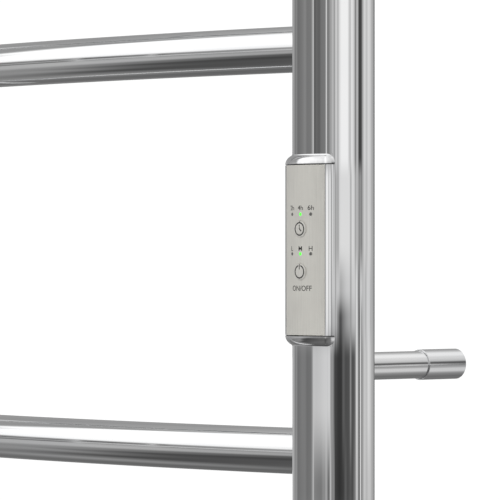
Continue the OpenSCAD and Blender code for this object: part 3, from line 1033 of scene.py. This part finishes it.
def face_band(front, near_corner, side, far_corner, left_corner):
    """One band of light: the strips that each face and corner of a post shows, in order of azimuth.

    The side nearer the camera looks wider, so places are bent by NEARER times their square.
    """
    stops = [(-180, left_corner[0]), (-165, left_corner[1])]
    stops += [(FRONT + CROWN_SPAN * (place - NEARER * place**2), level) for place, level in front]
    stops += near_corner
    stops += [(SIDE + CROWN_SPAN * (place + NEARER * place**2), level) for place, level in side]
    stops += far_corner
    return stops + [(150, left_corner[2]), (180, left_corner[0])]


UPPER_BAND = face_band(
    [(-1.03, 156), (-0.97, 112), (-0.91, 134), (-0.8, 107), (-0.57, 118), (-0.4, 131), (-0.29, 115),
     (-0.06, 118), (0.02, 160), (0.06, 200), (0.115, 80), (0.23, 102), (0.4, 93), (0.51, 113),
     (0.74, 118), (0.8, 215), (0.86, 113), (0.915, 82), (0.97, 135)],
    [(-96, 157), (-70, 162), (-46, 184), (-22, 170), (4, 144)],
    [(-0.97, 204), (-0.92, 172), (-0.81, 185), (-0.76, 217), (-0.65, 236), (-0.32, 236), (-0.22, 190),
     (-0.16, 188), (-0.11, 226), (0, 206), (0.054, 176), (0.108, 102), (0.16, 176), (0.216, 186),
     (0.27, 104), (0.324, 46), (0.43, 80), (0.486, 157), (0.595, 214), (0.7, 186), (0.81, 214),
     (0.92, 198), (0.97, 172), (1.03, 180), (1.08, 158)],
    [(75, 90), (120, 70)],
    (165, 156, 120),
)
BEZEL_BAND = face_band(
    [(-1, 150), (0.6, 160), (1.6, 150)],
    [(-93, 240), (-69, 240), (-46, 187), (-23, 219), (1, 224), (18, 138), (29, 150)],
    [(-0.97, 175), (-0.92, 166), (-0.81, 168), (-0.76, 210), (-0.65, 216), (-0.22, 216), (-0.16, 168),
     (-0.11, 190), (-0.07, 215), (0, 211), (0.054, 196), (0.108, 150), (0.16, 184), (0.216, 180),
     (0.27, 152), (0.324, 128), (0.38, 148), (0.43, 117), (0.486, 161), (0.595, 205), (0.7, 182),
     (0.81, 209), (0.92, 196), (0.97, 170), (1.03, 177), (1.08, 160)],
    [(75, 90), (120, 70)],
    (165, 156, 120),
)
CLOUD_BAND = face_band(
    [(-1, 150), (0.6, 160), (1.6, 150)],
    [(-93, 236), (-69, 240), (-46, 182), (-23, 223), (1, 219), (18, 141), (29, 149)],
    [(-0.97, 194), (-0.92, 196), (-0.81, 193), (-0.7, 168), (-0.6, 178), (-0.4, 196), (-0.22, 202),
     (-0.16, 159), (-0.11, 180), (-0.07, 201), (0.054, 203), (0.108, 179), (0.16, 221), (0.216, 191),
     (0.27, 110), (0.324, 122), (0.38, 208), (0.43, 197), (0.486, 183), (0.595, 196), (0.65, 172),
     (0.75, 207), (0.86, 203), (0.92, 180), (0.97, 172), (1.03, 177), (1.08, 159)],
    [(75, 90), (120, 70)],
    (165, 156, 120),
)
DUSK_BAND = face_band(
    [(-1, 150), (0.6, 160), (1.6, 150)],
    [(-93, 230), (-69, 232), (-46, 178), (-23, 216), (1, 221), (18, 146), (29, 154)],
    [(-0.97, 180), (-0.92, 155), (-0.81, 122), (-0.76, 85), (-0.68, 76), (-0.6, 110), (-0.4, 147),
     (-0.22, 166), (-0.16, 150), (-0.11, 165), (-0.07, 180), (0.054, 186), (0.108, 170), (0.16, 223),
     (0.216, 197), (0.27, 105), (0.324, 83), (0.38, 213), (0.43, 138), (0.486, 176), (0.595, 195),
     (0.65, 173), (0.75, 207), (0.86, 204), (0.92, 173), (0.97, 174), (1.03, 181), (1.08, 159)],
    [(75, 90), (120, 70)],
    (165, 156, 120),
)
LOWER_BAND = face_band(
    [(-1.03, 170), (-0.97, 116), (-0.91, 141), (-0.8, 109), (-0.57, 122), (-0.4, 121), (-0.29, 109),
     (-0.06, 113), (0.02, 155), (0.06, 193), (0.23, 190), (0.46, 195), (0.68, 202), (0.86, 203),
     (0.915, 190), (0.97, 210)],
    [(-96, 158), (-70, 140), (-46, 148), (-22, 121), (4, 70)],
    [(-0.97, 64), (-0.81, 53), (-0.65, 53), (-0.595, 82), (-0.54, 94), (-0.43, 74), (-0.22, 80),
     (-0.16, 147), (-0.11, 97), (-0.054, 75), (0.054, 89), (0.108, 134), (0.16, 215), (0.216, 196),
     (0.27, 110), (0.324, 76), (0.378, 232), (0.43, 112), (0.486, 153), (0.595, 199), (0.7, 184),
     (0.81, 214), (0.92, 194), (0.97, 171), (1.03, 175), (1.08, 159)],
    [(75, 110), (120, 84)],
    (207, 170, 217),
)
LOWEST_BAND = face_band(
    [(-1.03, 159), (-0.97, 132), (-0.91, 148), (-0.8, 110), (-0.63, 117), (-0.4, 122), (-0.29, 109),
     (-0.06, 115), (0.02, 151), (0.06, 189), (0.115, 127), (0.34, 120), (0.51, 118), (0.63, 139),
     (0.68, 130), (0.8, 166), (0.86, 129), (0.97, 94)],
    [(-110, 195), (-80, 156), (-55, 125), (-28, 134), (-5, 127), (20, 55)],
    [(-0.97, 59), (-0.76, 48), (-0.54, 62), (-0.43, 92), (-0.32, 71), (-0.16, 86), (-0.05, 71),
     (0.054, 114), (0.108, 137), (0.16, 196), (0.216, 187), (0.27, 109), (0.324, 90), (0.378, 227),
     (0.43, 107), (0.486, 154), (0.595, 197), (0.7, 177), (0.81, 194), (0.92, 190), (0.97, 168),
     (1.03, 173), (1.08, 156)],
    [(75, 120), (120, 110)],
    (226, 190, 230),
)
# Height above the horizon of each band of the studio, and its (azimuth, grey) stops.
STUDIO = [
    (-60, [(-180, 90), (-90, 105), (0, 115), (90, 105), (180, 90)]),
    (-42, [(-180, 140), (-168, 110), (-158, 72), (-120, 85), (-60, 100), (20, 120), (55, 165),
           (75, 130), (100, 105),
           (130, 115), (160, 95), (180, 140)]),
    (-30, [(-180, 120), (-150, 140), (-145, 110), (-138, 75), (-126, 66), (-90, 95),
           (0, 110), (40, 200), (60, 200), (80, 140),
           (120, 110), (145, 95), (180, 120)]),
    (-22, [(-180, 110), (-150, 135), (-142, 135), (-132, 110), (-120, 85),
           (-100, 110), (0, 110), (35, 190), (50, 200), (70, 170),
           (110, 120), (140, 119), (180, 110)]),
    (-13, [(-180, 140), (-150, 165), (-135, 175), (-100, 140), (-20, 110), (30, 150), (45, 162),
           (60, 160), (100, 150), (137, 125), (180, 140)]),
    (-5.5, [(-180, 150), (-150, 160), (-138, 172), (-120, 150), (-60, 140), (20, 100), (38, 120),
            (43, 140), (60, 150), (100, 150), (137, 138), (180, 150)]),
    (-3.7, LOWEST_BAND),
    (-2.3, LOWER_BAND),
    (-1.6, LOWER_BAND),
    (-0.95, DUSK_BAND),
    (-0.45, CLOUD_BAND),
    (0.3, BEZEL_BAND),
    (1.3, BEZEL_BAND),
    (1.7, UPPER_BAND),
    (4.6, UPPER_BAND),
    (5.8, [(-180, 150), (-150, 160), (-146, 170), (-126, 172), (-80, 165), (-20, 160), (20, 140),
           (33, 95), (60, 92), (80, 150), (130, 140), (180, 150)]),
    (10, [(-180, 150), (-150, 170), (-145, 250), (-128, 250), (-80, 190), (-20, 170), (20, 150),
          (35, 85), (60, 88), (80, 170), (130, 145), (180, 150)]),
    (22, [(-180, 143), (-155, 150), (-150, 262), (-128, 262), (-60, 205), (20, 190), (60, 193),
          (100, 190), (130, 150), (180, 143)]),
    (33, [(-180, 144), (-163, 146), (-158, 262), (-128, 262), (-60, 215), (30, 205), (60, 208),
          (100, 200), (125, 160), (150, 146), (180, 144)]),
    (43, [(-180, 146), (-166, 148), (-162, 262), (-130, 262), (-60, 225), (20, 205), (60, 215),
          (75, 230), (95, 230), (110, 199), (130, 170), (180, 146)]),
    (62, [(-180, 200), (-163, 240), (-130, 240), (20, 215), (70, 220), (120, 200), (180, 200)]),
]


# A ramp is kept as a table of 256 steps, so the fine strips of the posts' faces get ramps of their own.
CUTS = [FRONT - 1.1 * CROWN_SPAN, FRONT + CROWN_SPAN, SIDE - CROWN_SPAN, SIDE + 1.15 * CROWN_SPAN]
FEW = 20


def band(f, azimuth, stops):
    """Grey light round the horizon: straight lines between the stops, on as many ramps as they need."""
    cuts = CUTS if len(stops) > FEW else []
    parts = [[]]
    for stop in stops:
        if len(parts) <= len(cuts) and stop[0] > cuts[len(parts) - 1]:
            parts.append(parts[-1][-1:])
        parts[-1].append(stop)
    light = None
    for part in parts:
        first, last = part[0][0], part[-1][0]
        points = [((a - first) / (last - first), (grey(level),) * 3) for a, level in part]
        across = (azimuth - (first + 180) / 360) / ((last - first) / 360)
        ramp = f.node("ValToRGB", {"stops": points}, {"Fac": across})
        if light is None:
            light = ramp
        else:
            past = azimuth.math("GREATER_THAN", azimuth, (first + 180) / 360)
            light = f.blend(past, light, ramp)
    return light


def light_studio():
    """Softboxes and dark flags as bands round the rack, told by azimuth and height; white behind it."""
    world = bpy.data.worlds.new("studio")
    bpy.context.scene.world = world
    world.use_nodes = True
    f = Finish(world.node_tree)
    direction = f.node("TexCoord", out="Generated")
    parts = f.tree.nodes.new("ShaderNodeSeparateXYZ")
    f.tree.links.new(direction.socket, parts.inputs[0])
    x, y, z = (Term(f.tree, socket) for socket in parts.outputs)
    azimuth = x.math("ARCTAN2", y, x) / (2 * math.pi) + 0.5
    elevation = z.math("ARCSINE", z) * (180 / math.pi)
    light = None
    below = None
    for height, stops in STUDIO:
        ring = band(f, azimuth, stops)
        light = ring if light is None else f.blend(elevation.between(below, height), light, ring)
        below = height
    seen = f.node("LightPath", out="Is Camera Ray")
    studio = f.node("Background", values={"Color": light, "Strength": 1.0})
    white = f.node("Background", values={"Color": (1, 1, 1, 1), "Strength": 1.05})
    both = f.node("MixShader", values={0: seen, 1: studio, 2: white})
    f.node("OutputWorld", values={"Surface": both})


def lay_floor():
    """A round pale floor below the rack. Polished steel doesn't mirror it: its light comes as bands."""
    radius, drop = 2700, -760
    reach = np.linspace(0, radius, 24)
    turn = circle(96)
    points = np.stack([
        reach[:, None] * np.cos(turn), reach[:, None] * np.sin(turn) - 100,
        drop + 0 * reach[:, None] * turn,
    ], -1)
    mesh = bpy.data.meshes.new("floor")
    mesh.from_pydata((points.reshape(-1, 3) * MM).tolist(), [], grid_faces(24, 96, False, True).tolist())

    def build(f):
        cloud = f.noise(f.place(), 3, 3)
        tone = f.blend(cloud, (0.86, 0.86, 0.86, 1), (0.9, 0.9, 0.9, 1))
        return {"Base Color": tone, "Emission Color": tone}

    mesh.materials.append(material("floor_paper", build, **{"Roughness": 0.9, "Emission Strength": 0.5}))
    floor = bpy.data.objects.new("floor", mesh)
    bpy.context.scene.collection.objects.link(floor)
    floor.visible_glossy = False


def set_camera():
    """A long lens level with the control, 47.5 degrees to the right of straight ahead."""
    turn = math.radians(47.5)
    distance, aside, below = 2.270, 0.0535, 0.00658
    forward = Vector((-math.sin(turn), math.cos(turn), 0))
    right = Vector((math.cos(turn), math.sin(turn), 0))
    data = bpy.data.cameras.new("camera")
    data.lens = 254.9
    data.sensor_width = 36
    data.shift_y = 0.0208
    data.clip_end = 50
    camera = bpy.data.objects.new("camera", data)
    post = Vector((POST_X * MM, POST_Y * MM, CONTROL_Z * MM - below))
    camera.location = post - forward * distance - right * aside
    camera.rotation_euler = (math.pi / 2, 0, turn)
    bpy.context.scene.collection.objects.link(camera)
    bpy.context.scene.camera = camera


light_studio()
lay_floor()
set_camera()
bpy.context.scene.view_settings.view_transform = "Standard"
